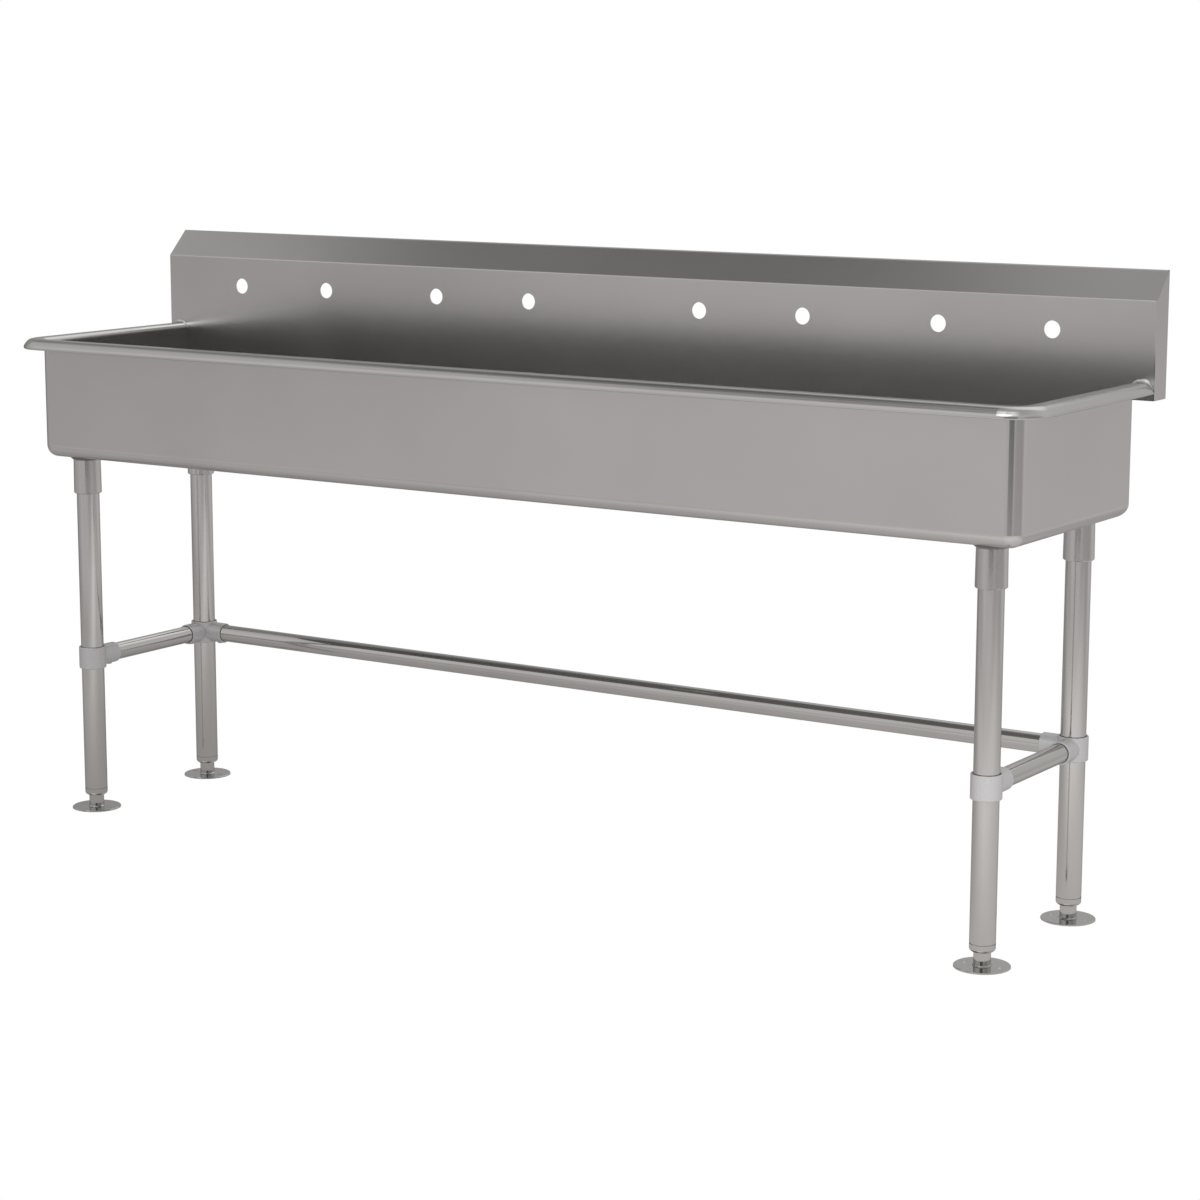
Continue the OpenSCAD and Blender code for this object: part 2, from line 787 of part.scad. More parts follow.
at_leg(-1, 0) leg_socket();  // leg_socket_front_left
at_leg(1, 0) leg_socket();  // leg_socket_front_right
at_leg(-1, 1) leg_socket();  // leg_socket_rear_left
at_leg(1, 1) leg_socket();  // leg_socket_rear_right

at_leg(-1, 0) leg();  // leg_front_left
at_leg(1, 0) leg();  // leg_front_right
at_leg(-1, 1) leg();  // leg_rear_left
at_leg(1, 1) leg();  // leg_rear_right

rail_fitting(TEE_LEFT);  // tee_fitting_left
rail_fitting(TEE_RIGHT);  // tee_fitting_right
rail_fitting(CORNER_LEFT);  // corner_fitting_left
rail_fitting(CORNER_RIGHT);  // corner_fitting_right

at_leg(-1, 0) side_rail();  // side_rail_left
at_leg(1, 0) side_rail();  // side_rail_right
rear_rail();

socket_set_screws();
fitting_set_screws();

at_leg(-1, 0) foot_insert();  // foot_insert_front_left
at_leg(1, 0) foot_insert();  // foot_insert_front_right
at_leg(-1, 1) foot_insert();  // foot_insert_rear_left
at_leg(1, 1) foot_insert();  // foot_insert_rear_right

at_leg(-1, 0) foot_stem();  // foot_stem_front_left
at_leg(1, 0) foot_stem();  // foot_stem_front_right
at_leg(-1, 1) foot_stem();  // foot_stem_rear_left
at_leg(1, 1) foot_stem();  // foot_stem_rear_right

at_leg(-1, 0) foot_flange();  // foot_flange_front_left
at_leg(1, 0) foot_flange();  // foot_flange_front_right
at_leg(-1, 1) foot_flange();  // foot_flange_rear_left
at_leg(1, 1) foot_flange();  // foot_flange_rear_right

drain_body();
drain_gasket();
drain_friction_washer();
drain_locknut();
strainer_basket();
strainer_stopper();
strainer_post();
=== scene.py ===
import bpy
import math
from mathutils import Matrix, Vector
from mathutils.bvhtree import BVHTree


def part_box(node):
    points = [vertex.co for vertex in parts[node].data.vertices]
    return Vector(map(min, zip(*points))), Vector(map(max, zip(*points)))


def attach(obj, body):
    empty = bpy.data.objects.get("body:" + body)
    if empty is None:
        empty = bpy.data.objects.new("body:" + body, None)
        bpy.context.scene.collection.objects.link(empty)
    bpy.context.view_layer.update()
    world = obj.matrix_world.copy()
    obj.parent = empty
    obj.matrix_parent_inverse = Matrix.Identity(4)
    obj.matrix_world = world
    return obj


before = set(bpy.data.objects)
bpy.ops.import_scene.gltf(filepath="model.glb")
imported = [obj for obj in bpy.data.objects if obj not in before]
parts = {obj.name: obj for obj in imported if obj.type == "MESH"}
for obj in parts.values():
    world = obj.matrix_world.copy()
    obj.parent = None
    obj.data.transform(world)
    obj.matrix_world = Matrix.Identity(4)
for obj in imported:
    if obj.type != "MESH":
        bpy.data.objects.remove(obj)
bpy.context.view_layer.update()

# ---------------------------------------------------------------------------------------------
# The bowl: one welded trough of 1.9 mm stainless sheet with coved corners and a rolled rim. All of
# it is brushed along its length, and its two end walls from front to back, after the seams are
# ground flush, so that the grain is all that shows.

X, Y, Z = (1, 0, 0), (0, 1, 0), (0, 0, 1)
STREAKS = {"Scale": 0.45, "Detail": 3.0, "Roughness": 0.6}
HAIRS = {"Scale": 2.4, "Detail": 4.0, "Roughness": 0.7}
HAIR_DEPTH = 0.12
HAIR_RANGE = (0.35, 0.65)
NOISE_RANGE = (0.3, 0.7)
TONE_DEPTH = 0.08
SCRATCH_DEPTH = 0.000001
CLOUD_SIZE = 4.0
CLOUD_DEPTH = 0.03
# CREVICE, CREVICE_RANGE and CREVICE_SHADE_TONE set the painted shade that darkens colour in crevices.
CREVICE = 0.003
CREVICE_RANGE = (0.15, 0.6)
CREVICE_SHADE_TONE = 0.25
AIR_SAMPLES = 6
END_WALL = 0.72
DOWNWARD = (-0.9, -0.98)
EDGE_TINT = (0.72, 0.72, 0.72, 1)


def group(name, inputs, outputs):
    """A shader group with its inputs, as (name, socket type, default value), and its outputs."""
    tree = bpy.data.node_groups.new(name, "ShaderNodeTree")
    for label, kind, value in inputs:
        socket = tree.interface.new_socket(label, in_out="INPUT", socket_type=kind)
        socket.default_value = value
    for label, kind in outputs:
        tree.interface.new_socket(label, in_out="OUTPUT", socket_type=kind)
    return tree, tree.nodes.new("NodeGroupInput"), tree.nodes.new("NodeGroupOutput")


def put(tree, kind, links=(), **settings):
    """A node with its settings, each of its inputs linked or set by place or by name."""
    node = tree.nodes.new(kind)
    for key, value in settings.items():
        setattr(node, key, value)
    for key, value in dict(links).items():
        if isinstance(value, bpy.types.NodeSocket):
            tree.links.new(value, node.inputs[key])
        else:
            node.inputs[key].default_value = value
    return node


def figure(tree, operation, *values):
    """The outcome of one step of arithmetic."""
    return put(tree, "ShaderNodeMath", enumerate(values), operation=operation).outputs[0]


def vectors(tree, operation, one, other):
    """The vector that comes of two others."""
    return put(tree, "ShaderNodeVectorMath", {0: one, 1: other}, operation=operation).outputs[0]


def sized(tree, vector, amount):
    """A vector or colour times an amount."""
    return put(tree, "ShaderNodeVectorMath", {0: vector, 3: amount}, operation="SCALE").outputs[0]


def spread(tree, value, start, end, low=0.0, high=1.0, way="LINEAR"):
    """The value carried from the range start to end into the range low to high, and held in it."""
    return put(tree, "ShaderNodeMapRange", {0: value, 1: start, 2: end, 3: low, 4: high},
               interpolation_type=way).outputs[0]


def brushed_grain():
    """Scratches of an abrasive belt: long along the grain, very fine across it."""
    tree, given, result = group(
        "Brushed grain",
        [("Place", "NodeSocketVector", (0, 0, 0)), ("Along", "NodeSocketVector", X),
         ("Fine", "NodeSocketFloat", 420.0), ("Long", "NodeSocketFloat", 3.0),
         ("Tone depth", "NodeSocketFloat", 0.1)],
        [("Tone", "NodeSocketFloat"), ("Scratch", "NodeSocketFloat"), ("Hair", "NodeSocketFloat")])
    fine = given.outputs["Fine"]
    all_ways = put(tree, "ShaderNodeCombineXYZ", {0: fine, 1: fine, 2: fine}).outputs[0]
    longer = figure(tree, "SUBTRACT", fine, given.outputs["Long"])
    stretch = vectors(tree, "SUBTRACT", all_ways, sized(tree, given.outputs["Along"], longer))
    laid = vectors(tree, "MULTIPLY", given.outputs["Place"], stretch)
    streaks = put(tree, "ShaderNodeTexNoise", {"Vector": laid, **STREAKS}).outputs[0]
    hairs = put(tree, "ShaderNodeTexNoise", {"Vector": laid, **HAIRS}).outputs[0]
    both = put(tree, "ShaderNodeMix", {0: 0.5, 2: streaks, 3: hairs}, data_type="FLOAT").outputs[0]
    swing = figure(tree, "SUBTRACT", both, 0.5)
    tone = figure(tree, "MULTIPLY_ADD", swing, given.outputs["Tone depth"], 1.0)
    scratch = figure(tree, "MULTIPLY_ADD", hairs, HAIR_DEPTH, streaks)
    for label, value in (("Tone", tone), ("Scratch", scratch), ("Hair", hairs)):
        tree.links.new(value, result.inputs[label])
    return tree


def clouding():
    """Faint, wide clouds left by polishing and handling, as a tone near 1."""
    tree, given, result = group(
        "Clouding",
        [("Place", "NodeSocketVector", (0, 0, 0)), ("Size", "NodeSocketFloat", 4.0),
         ("Depth", "NodeSocketFloat", 0.03)],
        [("Cloud", "NodeSocketFloat")])
    noise = put(tree, "ShaderNodeTexNoise",
                {"Vector": given.outputs["Place"], "Scale": given.outputs["Size"], "Detail": 3.0})
    swing = spread(tree, noise.outputs[0], *NOISE_RANGE, -1.0, 1.0)
    tone = figure(tree, "MULTIPLY_ADD", swing, given.outputs["Depth"], 1.0)
    tree.links.new(tone, result.inputs["Cloud"])
    return tree


def painted_crevice_shade(tree):
    """Painted shade for the base colour: 1 where the surface is open to the air, less in a crevice."""
    air = put(tree, "ShaderNodeAmbientOcclusion", {"Distance": CREVICE}, samples=AIR_SAMPLES).outputs["AO"]
    return spread(tree, air, *CREVICE_RANGE, CREVICE_SHADE_TONE, 1.0)


GRAIN = brushed_grain()
CLOUDING = clouding()


def brushed_steel(name, colour, roughness, along, end_along=None, fine=2600.0, long=26.0,
                  anisotropic=0.8, underside_shade=1.0):
    """Stainless steel with its grain along the given direction. Faces that look along X take end_along
    instead, where the piece has end walls. Downward faces and crevices get painted shade in the colour."""
    material = bpy.data.materials.new(name)
    material.use_nodes = True
    tree = material.node_tree
    shader = tree.nodes["Principled BSDF"]
    place = put(tree, "ShaderNodeTexCoord").outputs["Object"]
    if end_along:
        facing = put(tree, "ShaderNodeNewGeometry").outputs["True Normal"]
        sideways = put(tree, "ShaderNodeSeparateXYZ", {0: facing}).outputs[0]
        is_end = figure(tree, "GREATER_THAN", figure(tree, "ABSOLUTE", sideways), END_WALL)
        along = put(tree, "ShaderNodeMix", {0: is_end, 4: along, 5: end_along}, data_type="VECTOR").outputs[1]
    grain = put(tree, "ShaderNodeGroup",
                {"Place": place, "Along": along, "Fine": fine, "Long": long, "Tone depth": TONE_DEPTH},
                node_tree=GRAIN)
    clouds = put(tree, "ShaderNodeGroup", {"Place": place, "Size": CLOUD_SIZE, "Depth": CLOUD_DEPTH},
                 node_tree=CLOUDING)
    amount = figure(tree, "MULTIPLY", grain.outputs["Tone"], clouds.outputs[0])
    # Painted shade: faces that look down are made darker by underside_shade.
    if underside_shade < 1:
        facing = put(tree, "ShaderNodeNewGeometry").outputs["True Normal"]
        upward = put(tree, "ShaderNodeSeparateXYZ", {0: facing}).outputs[2]
        amount = figure(tree, "MULTIPLY", amount, spread(tree, upward, *DOWNWARD, 1.0, underside_shade))
    # Painted shade: the colour is darkened in crevices, where shade falls.
    amount = figure(tree, "MULTIPLY", amount, painted_crevice_shade(tree))
    tree.links.new(sized(tree, colour, amount), shader.inputs["Base Color"])
    dull = spread(tree, grain.outputs["Hair"], *HAIR_RANGE, *roughness)
    tree.links.new(dull, shader.inputs["Roughness"])
    shader.inputs["Metallic"].default_value = 1.0
    shader.inputs["Anisotropic"].default_value = anisotropic
    shader.inputs["Specular Tint"].default_value = EDGE_TINT
    normal = put(tree, "ShaderNodeNewGeometry").outputs["Normal"]
    tree.links.new(vectors(tree, "CROSS_PRODUCT", normal, along), shader.inputs["Tangent"])
    bump = put(tree, "ShaderNodeBump",
               {"Strength": 0.35, "Distance": SCRATCH_DEPTH, "Height": grain.outputs["Scratch"]})
    tree.links.new(bump.outputs[0], shader.inputs["Normal"])
    return material


def finish_in(material, *names):
    for name in names:
        parts[name].data.materials.clear()
        parts[name].data.materials.append(material)


SHEET_COLOUR = (0.672, 0.668, 0.659)
sheet_steel = brushed_steel("sheet_steel", SHEET_COLOUR, (0.15, 0.23), X, Y, anisotropic=0.5, underside_shade=0.42)
finish_in(sheet_steel, "trough")

# ---------------------------------------------------------------------------------------------
# The backsplash: one folded sheet with a sloping return and a rear flange, punched for the
# faucets, with a blank welded over each end of the box and dressed flush.

cap_steel = brushed_steel("cap_steel", SHEET_COLOUR, (0.06, 0.26), Z, anisotropic=0.5)
finish_in(sheet_steel, "backsplash")
finish_in(cap_steel, "splash_end_cap_left", "splash_end_cap_right")

# ---------------------------------------------------------------------------------------------
# Rim welds: where each end of the rolled rim meets the face of the backsplash, a weld is laid and
# ground to a soft hollow that follows the rim's top from the bowl's wall to its outer edge.

HOLLOW = 0.0065
HOLLOW_STEPS = 9
HOLLOW_WIDEST_AT = 0.6
HOLLOW_END_WIDTH = 0.08
SPLASH_FACE = 0.198
RIM_TOP = 0.876
RIM_CORE_IN = 0.018
RIM_CORE_DOWN = 0.014
RIM_REACH = 0.06
RIM_INNER, RIM_OUTER, RIM_TURN = 172, 8, 4


def rim_hollow():
    """A weld with a hollow face, swept along the given line and tapered at its ends."""
    tree = bpy.data.node_groups.new("Rim hollow", "GeometryNodeTree")
    tree.interface.new_socket("Geometry", in_out="INPUT", socket_type="NodeSocketGeometry")
    for label, kind in (("Hollow", "NodeSocketFloat"), ("Finish", "NodeSocketMaterial")):
        tree.interface.new_socket(label, in_out="INPUT", socket_type=kind)
    tree.interface.new_socket("Geometry", in_out="OUTPUT", socket_type="NodeSocketGeometry")
    given = tree.nodes.new("NodeGroupInput")
    result = tree.nodes.new("NodeGroupOutput")
    path = put(tree, "GeometryNodeMeshToCurve", {"Mesh": given.outputs[0]}).outputs[0]
    path = put(tree, "GeometryNodeSetCurveNormal", {"Curve": path, "Normal": Y}, mode="FREE").outputs[0]
    along = put(tree, "GeometryNodeSplineParameter").outputs["Factor"]
    rise = spread(tree, along, 0.0, HOLLOW_WIDEST_AT, HOLLOW_END_WIDTH, 1.0, way="SMOOTHSTEP")
    fall = spread(tree, along, HOLLOW_WIDEST_AT, 1.0, 1.0, HOLLOW_END_WIDTH, way="SMOOTHSTEP")
    width = figure(tree, "MINIMUM", rise, fall)
    line = put(tree, "GeometryNodeCurvePrimitiveLine").outputs[0]
    line = put(tree, "GeometryNodeResampleCurve", {"Curve": line, "Count": HOLLOW_STEPS + 2}).outputs[0]
    line = put(tree, "GeometryNodeSetSplineCyclic", {"Geometry": line, "Cyclic": True}).outputs[0]
    number = put(tree, "GeometryNodeInputIndex").outputs[0]
    turn = spread(tree, number, 1.0, HOLLOW_STEPS + 1, -math.pi / 2, 0.0)
    inward = figure(tree, "SUBTRACT", figure(tree, "COSINE", turn), 1.0)
    upward = figure(tree, "ADD", figure(tree, "SINE", turn), 1.0)
    past_corner = figure(tree, "GREATER_THAN", number, 0.5)
    size = figure(tree, "MULTIPLY", past_corner, given.outputs["Hollow"])
    spot = put(tree, "ShaderNodeCombineXYZ", {0: inward, 1: upward}).outputs[0]
    spot = sized(tree, spot, size)
    profile = put(tree, "GeometryNodeSetPosition", {"Geometry": line, "Position": spot}).outputs[0]
    swept = put(tree, "GeometryNodeCurveToMesh",
                {"Curve": path, "Profile Curve": profile, "Scale": width, "Fill Caps": True}).outputs[0]
    outward = put(tree, "GeometryNodeFlipFaces", {"Mesh": swept}).outputs[0]
    real = put(tree, "GeometryNodeRealizeInstances", {0: outward}).outputs[0]
    done = put(tree, "GeometryNodeSetMaterial", {"Geometry": real, "Material": given.outputs["Finish"]})
    tree.links.new(done.outputs[0], result.inputs[0])
    return tree


def placed(name, data):
    """An object of the given mesh, camera or light, put into the scene."""
    item = bpy.data.objects.new(name, data)
    bpy.context.scene.collection.objects.link(item)
    return item


def grown(tree, name, points, values, edges=()):
    """A plain mesh object from a node tree laid on the given points."""
    mesh = bpy.data.meshes.new(name)
    mesh.from_pydata(points, edges, [])
    piece = placed(name, mesh)
    modifier = piece.modifiers.new("grow", "NODES")
    modifier.node_group = tree
    for item in tree.interface.items_tree:
        if item.item_type == "SOCKET" and item.in_out == "INPUT" and item.name in values:
            modifier[item.identifier] = values[item.name]
    made = bpy.data.meshes.new_from_object(piece.evaluated_get(bpy.context.evaluated_depsgraph_get()))
    piece.modifiers.remove(modifier)
    piece.data = made
    made.materials.clear()
    made.materials.append(values["Finish"])
    return piece


def rim_top():
    """Points over the rolled rim's section at the right, from the bowl's wall to its outer edge."""
    trough = parts["trough"]
    spots = [trough.matrix_world @ vertex.co for vertex in trough.data.vertices]
    skin = BVHTree.FromPolygons(spots, [list(face.vertices) for face in trough.data.polygons])
    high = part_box("trough")[1]
    core = Vector((high[0] - RIM_CORE_IN, SPLASH_FACE - 2 * HOLLOW, RIM_TOP - RIM_CORE_DOWN))
    line = []
    for degrees in range(RIM_INNER, RIM_OUTER - 1, -RIM_TURN):
        outward = Vector((math.cos(math.radians(degrees)), 0, math.sin(math.radians(degrees))))
        hit = skin.ray_cast(core + outward * RIM_REACH, -outward)[0]
        line.append((hit.x, SPLASH_FACE, hit.z))
    return line


ground_steel = brushed_steel("ground_steel", SHEET_COLOUR, (0.34, 0.46), X, anisotropic=0.0)
rim_line = rim_top()
rim_weld = grown(rim_hollow(), "rim_weld_right", rim_line, {"Hollow": HOLLOW, "Finish": ground_steel},
                 [(n, n + 1) for n in range(len(rim_line) - 1)])
rim_weld.data.shade_smooth()
other_mesh = rim_weld.data.copy()
other_mesh.transform(Matrix.Scale(-1, 4, X))
other_mesh.flip_normals()
other_weld = placed("rim_weld_left", other_mesh)
for weld in (rim_weld, other_weld):
    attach(weld, "sink")

# ---------------------------------------------------------------------------------------------
# Pads and leg sockets: a round pad welded under each corner of the bowl carries a turned socket
# with a closed top. The leg slides into it and is held by a set screw. A weld goes round the joint
# of pad and socket.

CORNERS = ["front_left", "front_right", "rear_left", "rear_right"]
SOCKET_TOP_R = 0.0246
SOCKET_WELD_OUT = 0.0004
SOCKET_BEADS = 84
SOCKET_BEAD = (0.0017, 0.0013, 0.0012)
SOCKET_WELD_SEED = 3
BEAD_RANGE = (0.86, 1.08)


def matt(name, colour, roughness, metallic, grit, depth, tone=0.06):
    """A plain, slightly uneven surface with painted shade in its crevices: cast or welded steel, rubber or
    pressed fibre.
    """
    material = bpy.data.materials.new(name)
    material.use_nodes = True
    tree = material.node_tree
    shader = tree.nodes["Principled BSDF"]
    place = put(tree, "ShaderNodeTexCoord").outputs["Object"]
    grains = put(tree, "ShaderNodeTexNoise",
                 {"Vector": place, "Scale": grit, "Detail": 4.0, "Roughness": 0.6}).outputs[0]
    amount = spread(tree, grains, *NOISE_RANGE, 1 - tone, 1 + tone)
    # Painted shade: the colour is darkened in crevices, where shade falls.
    amount = figure(tree, "MULTIPLY", amount, painted_crevice_shade(tree))
    tree.links.new(sized(tree, colour, amount), shader.inputs["Base Color"])
    shader.inputs["Roughness"].default_value = roughness
    shader.inputs["Metallic"].default_value = metallic
    bump = put(tree, "ShaderNodeBump", {"Strength": 0.5, "Distance": depth, "Height": grains})
    tree.links.new(bump.outputs[0], shader.inputs["Normal"])
    return material


def weld_ring():
    """Beads of a hand-laid weld in a ring about each given point."""
    tree = bpy.data.node_groups.new("Weld ring", "GeometryNodeTree")
    tree.interface.new_socket("Geometry", in_out="INPUT", socket_type="NodeSocketGeometry")
    inputs = [("Radius", "NodeSocketFloat", 0.02), ("Beads", "NodeSocketInt", 60),
              ("Bead", "NodeSocketVector", (0.001, 0.001, 0.001)), ("Seed", "NodeSocketInt", 1),
              ("Finish", "NodeSocketMaterial", None)]
    for label, kind, value in inputs:
        socket = tree.interface.new_socket(label, in_out="INPUT", socket_type=kind)
        if value is not None:
            socket.default_value = value
    tree.interface.new_socket("Geometry", in_out="OUTPUT", socket_type="NodeSocketGeometry")
    given = tree.nodes.new("NodeGroupInput")
    result = tree.nodes.new("NodeGroupOutput")
    circle = put(tree, "GeometryNodeCurvePrimitiveCircle", {"Radius": given.outputs["Radius"]}).outputs[0]
    spaced = put(tree, "GeometryNodeResampleCurve", {"Curve": circle, "Count": given.outputs["Beads"]})
    tangent = put(tree, "GeometryNodeInputTangent").outputs[0]
    turned = put(tree, "FunctionNodeAlignRotationToVector", {"Vector": tangent}, axis="X").outputs[0]
    uneven = put(tree, "FunctionNodeRandomValue",
                 {2: BEAD_RANGE[0], 3: BEAD_RANGE[1], "Seed": given.outputs["Seed"]}, data_type="FLOAT")
    scaled = sized(tree, given.outputs["Bead"], uneven.outputs[1])
    bead = put(tree, "GeometryNodeMeshIcoSphere", {"Radius": 1.0, "Subdivisions": 2}).outputs[0]
    beads = put(tree, "GeometryNodeInstanceOnPoints",
                {"Points": spaced.outputs[0], "Instance": bead, "Rotation": turned, "Scale": scaled})
    ring = put(tree, "GeometryNodeRealizeInstances", {0: beads.outputs[0]}).outputs[0]
    rings = put(tree, "GeometryNodeInstanceOnPoints", {"Points": given.outputs[0], "Instance": ring})
    real = put(tree, "GeometryNodeRealizeInstances", {0: rings.outputs[0]}).outputs[0]
    smooth = put(tree, "GeometryNodeSetShadeSmooth", {0: real}).outputs[0]
    done = put(tree, "GeometryNodeSetMaterial", {"Geometry": smooth, "Material": given.outputs["Finish"]})
    tree.links.new(done.outputs[0], result.inputs[0])
    return tree


def middle(name):
    """The middle of a node's box, seen from above."""
    low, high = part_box(name)
    return (low[0] + high[0]) / 2, (low[1] + high[1]) / 2


socket_steel = brushed_steel("socket_steel", SHEET_COLOUR, (0.07, 0.28), Z, anisotropic=0.5)
# The pads' dark colour is painted shade: it stands for the shadow under the bowl.
pad_shade_steel = matt("pad_shade_steel", (0.24, 0.235, 0.23), 0.45, 0.9, 200, 0.00004)
screw_steel = matt("screw_steel", (0.42, 0.42, 0.42), 0.35, 1.0, 300, 0.00002)
weld_steel = matt("weld_steel", (0.40, 0.385, 0.37), 0.34, 1.0, 900, 0.00002, 0.2)
for corner in CORNERS:
    finish_in(pad_shade_steel, "socket_pad_" + corner)
    finish_in(socket_steel, "leg_socket_" + corner)
finish_in(screw_steel, "socket_set_screws")
WELD_RING = weld_ring()
pad_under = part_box("socket_pad_front_left")[0][2]
seats = [(*middle("socket_pad_" + corner), pad_under) for corner in CORNERS]
socket_welds = grown(WELD_RING, "socket_pad_welds", seats,
                     {"Radius": SOCKET_TOP_R + SOCKET_WELD_OUT, "Beads": SOCKET_BEADS,
                      "Bead": SOCKET_BEAD, "Seed": SOCKET_WELD_SEED, "Finish": weld_steel})
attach(socket_welds, "sink")

# ---------------------------------------------------------------------------------------------
# Legs: four lengths of welded stainless tube, polished lengthwise on a belt. The top of each
# slides into its socket, and its lower end takes the insert of its foot.

TUBE_COLOUR = (0.655, 0.651, 0.64)
tube_steel = brushed_steel("tube_steel", TUBE_COLOUR, (0.05, 0.2), Z, anisotropic=0.5)
for corner in CORNERS:
    finish_in(tube_steel, "leg_" + corner)

# ---------------------------------------------------------------------------------------------
# Lower rails: smaller tube between the legs, plugged into cast fittings that slide on the legs
# and are held with set screws. The castings are tumbled to a pale, even grey.

RAIL_ROUGHNESS = (0.04, 0.16)
rail_x_steel = brushed_steel("rail_x_steel", TUBE_COLOUR, RAIL_ROUGHNESS, X, anisotropic=0.5)
rail_y_steel = brushed_steel("rail_y_steel", TUBE_COLOUR, RAIL_ROUGHNESS, Y, anisotropic=0.5)
cast_steel = matt("cast_steel", (0.56, 0.56, 0.565), 0.4, 0.4, 450, 0.00008)
finish_in(rail_x_steel, "rear_rail")
finish_in(rail_y_steel, "side_rail_left", "side_rail_right")
finish_in(cast_steel, "tee_fitting_left", "tee_fitting_right", "corner_fitting_left", "corner_fitting_right")
finish_in(screw_steel, "fitting_set_screws")

# ---------------------------------------------------------------------------------------------
# Feet: a bullet-shaped insert pressed into each leg, and a stem that screws up and down in it,
# welded to a round floor flange.

STEM_R = 0.0136
STEM_WELD_OUT = 0.0008
STEM_BEADS = 46
STEM_BEAD = (0.0016, 0.0012, 0.0011)
STEM_WELD_SEED = 11
EVEN_GRAIN = {"fine": 300, "long": 300, "anisotropic": 0.0}

turned_steel = brushed_steel("turned_steel", TUBE_COLOUR, (0.06, 0.18), Z)
flange_steel = brushed_steel("flange_steel", TUBE_COLOUR, (0.05, 0.14), X, **EVEN_GRAIN)
for number, corner in enumerate(CORNERS):
    finish_in(turned_steel, "foot_insert_" + corner, "foot_stem_" + corner)
    finish_in(flange_steel, "foot_flange_" + corner)
    seat = [(*middle("foot_flange_" + corner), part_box("foot_flange_" + corner)[1][2])]
    foot_weld = grown(WELD_RING, "foot_weld_" + corner, seat,
                      {"Radius": STEM_R + STEM_WELD_OUT, "Beads": STEM_BEADS,
                       "Bead": STEM_BEAD, "Seed": STEM_WELD_SEED + number, "Finish": weld_steel})
    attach(foot_weld, "foot_" + corner)

# ---------------------------------------------------------------------------------------------
# Drain: a flanged body clamped through the bowl's floor by a locknut, with a rubber gasket and a
# fibre friction washer, and a strainer basket that lifts out by its post.

drain_steel = brushed_steel("drain_steel", TUBE_COLOUR, (0.1, 0.2), X, **EVEN_GRAIN)
rubber = matt("rubber", (0.03, 0.03, 0.03), 0.6, 0.0, 300, 0.00005)
fibre = matt("fibre", (0.30, 0.09, 0.05), 0.7, 0.0, 500, 0.00005)
finish_in(drain_steel, "drain_body", "drain_locknut", "strainer_basket", "strainer_post")
finish_in(rubber, "drain_gasket", "strainer_stopper")
finish_in(fibre, "drain_friction_washer")

# ---------------------------------------------------------------------------------------------
# The camera: it stands at the photograph's viewing angle. Its place, its turn and its focal
# length, in pixels of a square picture, come from the photograph's perspective.

CAMERA_AT = Vector((2.86546, -4.405465 + SPLASH_FACE, 1.367042))
PITCH, ROLL, YAW = -0.1764505, 0.0017022, 0.5804922
FOCAL_PIXELS, PICTURE_PIXELS, SENSOR = 3002.627, 1200, 36
forward = Vector((-math.sin(YAW) * math.cos(PITCH), math.cos(YAW) * math.cos(PITCH), math.sin(PITCH)))
level = Vector((math.cos(YAW), math.sin(YAW), 0))
upward = level.cross(forward)
right = level * math.cos(ROLL) + upward * math.sin(ROLL)
up = upward * math.cos(ROLL) - level * math.sin(ROLL)
lens = bpy.data.cameras.new("camera")
lens.lens = FOCAL_PIXELS / PICTURE_PIXELS * SENSOR
lens.sensor_width = SENSOR
lens.clip_end = 100
camera = placed("camera", lens)
camera.matrix_world = Matrix.Translation(CAMERA_AT) @ Matrix((right, up, -forward)).transposed().to_4x4()
bpy.context.scene.camera = camera

# ---------------------------------------------------------------------------------------------
# The floor: the camera sees it only as the shade where something stands on it. To the steel it is
# a pale floor whose light and shade are painted into its glow: painted shade near and under the sink,
# more light to the right and to the front, less further out, and it ends in the surround a few metres
# away. The rows of numbers are a range of distance or place, and the light over it.

FLOOR = 40
FLOOR_SHADE = 0.006
FLOOR_SHADE_RANGE = (0.1, 0.75)
FLOOR_MIDDLE = (0.0, -0.12, 0)
FLOOR_SQUEEZE = (0.5, 1.0, 0.0)
NEAR_SINK = (0.3, 1.0, 0.53, 0.66)
TO_THE_RIGHT = (-1.3, 1.1, 0.7, 1.15)
TO_THE_BACK = (-1.3, 0.6, 1.12, 0.82)
FURTHER_OUT = (1.2, 2.0, 1.0, 0.74)
FLOOR_END = (1.3, 3.0)
FLOOR_TINT = (1, 0.955, 0.945, 1)
SQUARE = [(0, 1, 2, 3)]

floor_mesh = bpy.data.meshes.new("floor")
floor_mesh.from_pydata([(-FLOOR, -FLOOR, 0), (FLOOR, -FLOOR, 0), (FLOOR, FLOOR, 0), (-FLOOR, FLOOR, 0)],
                       [], SQUARE)
floor = placed("floor", floor_mesh)
paint = bpy.data.materials.new("floor_paint")
paint.use_nodes = True
tree = paint.node_tree
tree.nodes.clear()
pale = put(tree, "ShaderNodeBsdfDiffuse", {"Color": (0.9, 0.9, 0.9, 1)}).outputs[0]
clear = put(tree, "ShaderNodeBsdfTransparent").outputs[0]
under = put(tree, "ShaderNodeAmbientOcclusion", {"Distance": FLOOR_SHADE}, samples=AIR_SAMPLES).outputs["AO"]
unshaded = spread(tree, under, *FLOOR_SHADE_RANGE)
to_camera = put(tree, "ShaderNodeMixShader", {0: unshaded, 1: pale, 2: clear}).outputs[0]
place = put(tree, "ShaderNodeTexCoord").outputs["Object"]
spot = put(tree, "ShaderNodeSeparateXYZ", {0: place})
squeezed = vectors(tree, "MULTIPLY", place, FLOOR_SQUEEZE)
